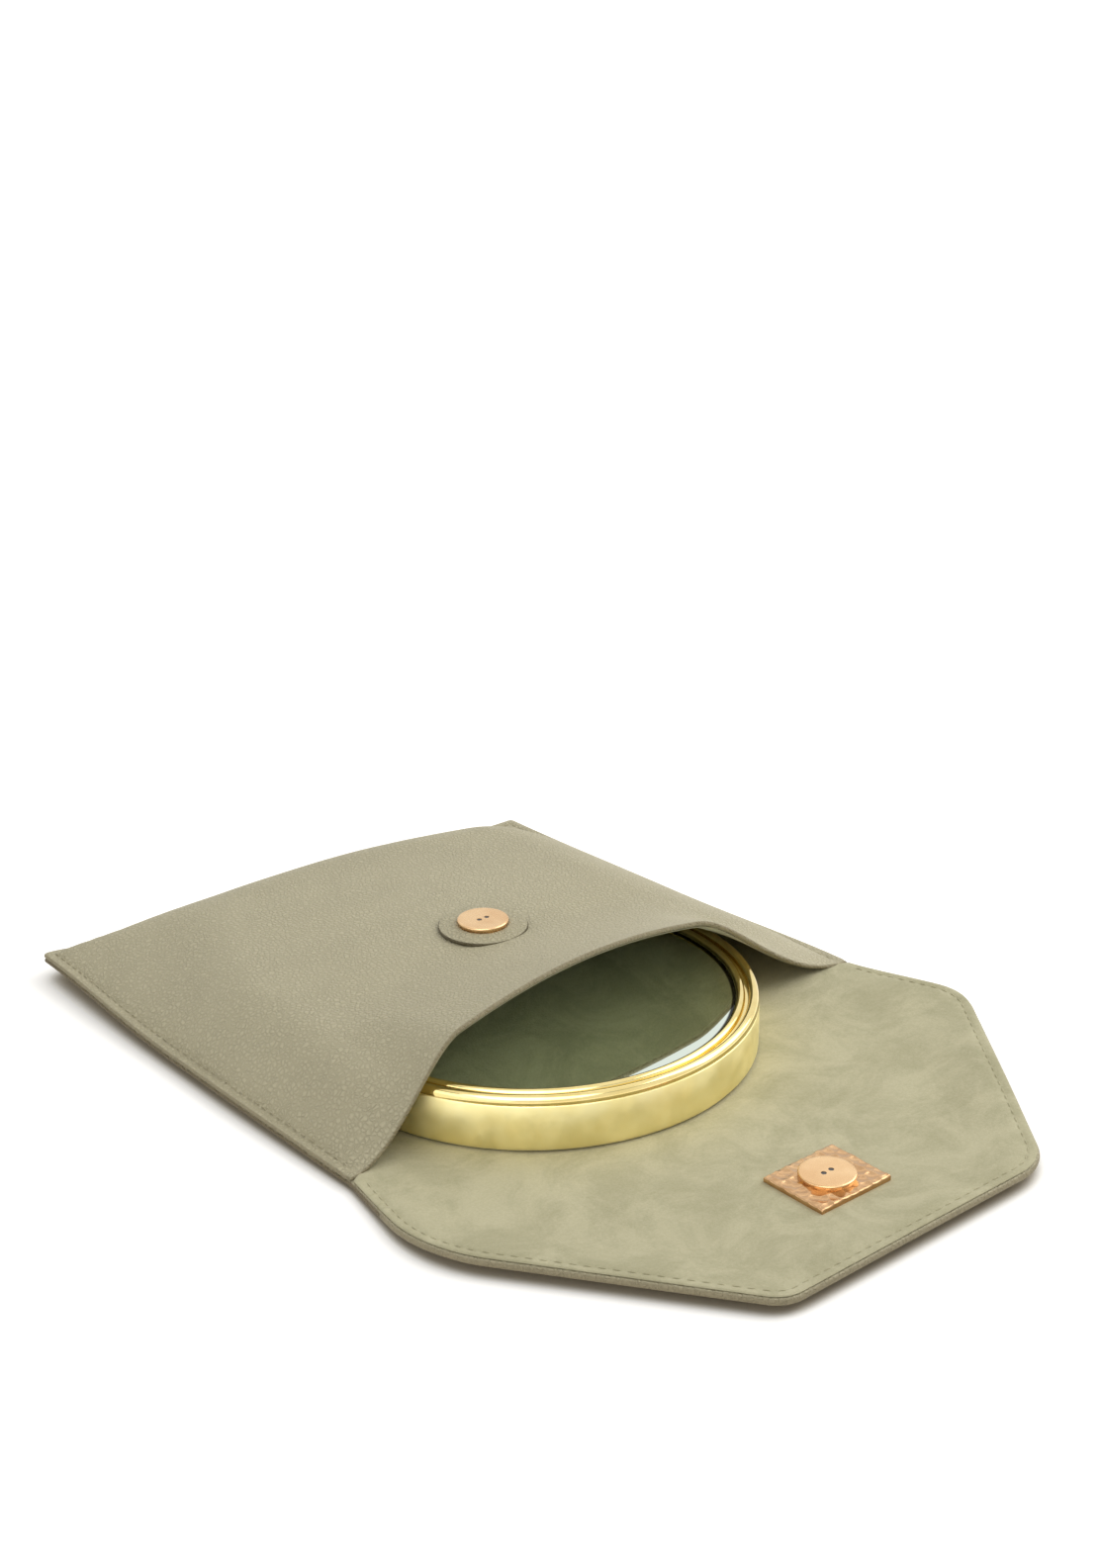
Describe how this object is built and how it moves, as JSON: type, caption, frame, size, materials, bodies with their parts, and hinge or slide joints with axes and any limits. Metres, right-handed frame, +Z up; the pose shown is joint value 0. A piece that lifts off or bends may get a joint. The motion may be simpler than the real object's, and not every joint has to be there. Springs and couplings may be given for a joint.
{
  "type": "compact mirror",
  "caption": "Round brass-rimmed mirror half inside a leather envelope pouch whose open flap folds over the mouth and closes with a magnetic snap.",
  "frame": {"origin": "middle of the footprint of the open pouch, on the surface that it lies on", "axes": "+X across the pouch, +Y from the tip of the open flap to the closed end, +Z up"},
  "size_m": [0.1816, 0.251, 0.0276],
  "materials": {
    "outer_leather": "pebbled, matte",
    "suede_lining": "suede nap",
    "stiffener": "plain board",
    "wadding": "soft felt",
    "satin_brass": "satin",
    "polished_brass": "polished",
    "rose_gold": "plated, polished",
    "magnet": "plain",
    "prong_steel": "plain",
    "mirror_glass": "silvered",
    "foam_pad": "foam",
    "core_board": "fibreboard"
  },
  "bodies": {
    "pouch": {"back_leather": "outer_leather", "back_board": "stiffener", "back_lining": "suede_lining", "front_leather": "outer_leather", "front_board": "stiffener", "front_lining": "suede_lining", "snap_washer": "outer_leather", "front_snap_cap": "rose_gold", "front_snap_magnet": "magnet", "front_snap_prongs": "prong_steel", "front_snap_backplate": "prong_steel"},
    "fold": {"fold_leather": "outer_leather", "fold_wadding": "wadding", "fold_lining": "suede_lining"},
    "flap": {"flap_leather": "outer_leather", "flap_board": "stiffener", "flap_lining": "suede_lining", "flap_plate": "rose_gold", "flap_snap_cap": "rose_gold", "flap_snap_magnet": "magnet", "flap_snap_prongs": "prong_steel", "flap_snap_backplate": "prong_steel"},
    "mirror": {"mirror_rim": "satin_brass", "mirror_bezel": "polished_brass", "mirror_glass": "mirror_glass", "mirror_pad": "foam_pad", "mirror_core": "core_board", "mirror_base": "satin_brass"}
  },
  "joints": [
    {"name": "flap_rise", "type": "hinge", "parent": "pouch", "child": "fold", "pos_m": [0, -0.0225, 0.00125], "axis": [-1, 0, 0], "range_deg": [0, 117.29], "deforming": ["fold_leather", "fold_wadding", "fold_lining"]},
    {"name": "flap_fold", "type": "hinge", "parent": "fold", "child": "flap", "pos_m": [0, -0.05389, 0.00125], "axis": [-1, 0, 0], "range_deg": [0, 62.71]},
    {"name": "mirror_slide", "type": "slide", "parent": "pouch", "child": "mirror", "axis": [0, 1, 0], "range_m": [0, 0.041]}
  ],
  "couplings": [
    {"joint": "flap_rise", "follows": "mirror_slide", "rad_per_m": 49.929},
    {"joint": "flap_fold", "follows": "mirror_slide", "rad_per_m": 26.695}
  ]
}
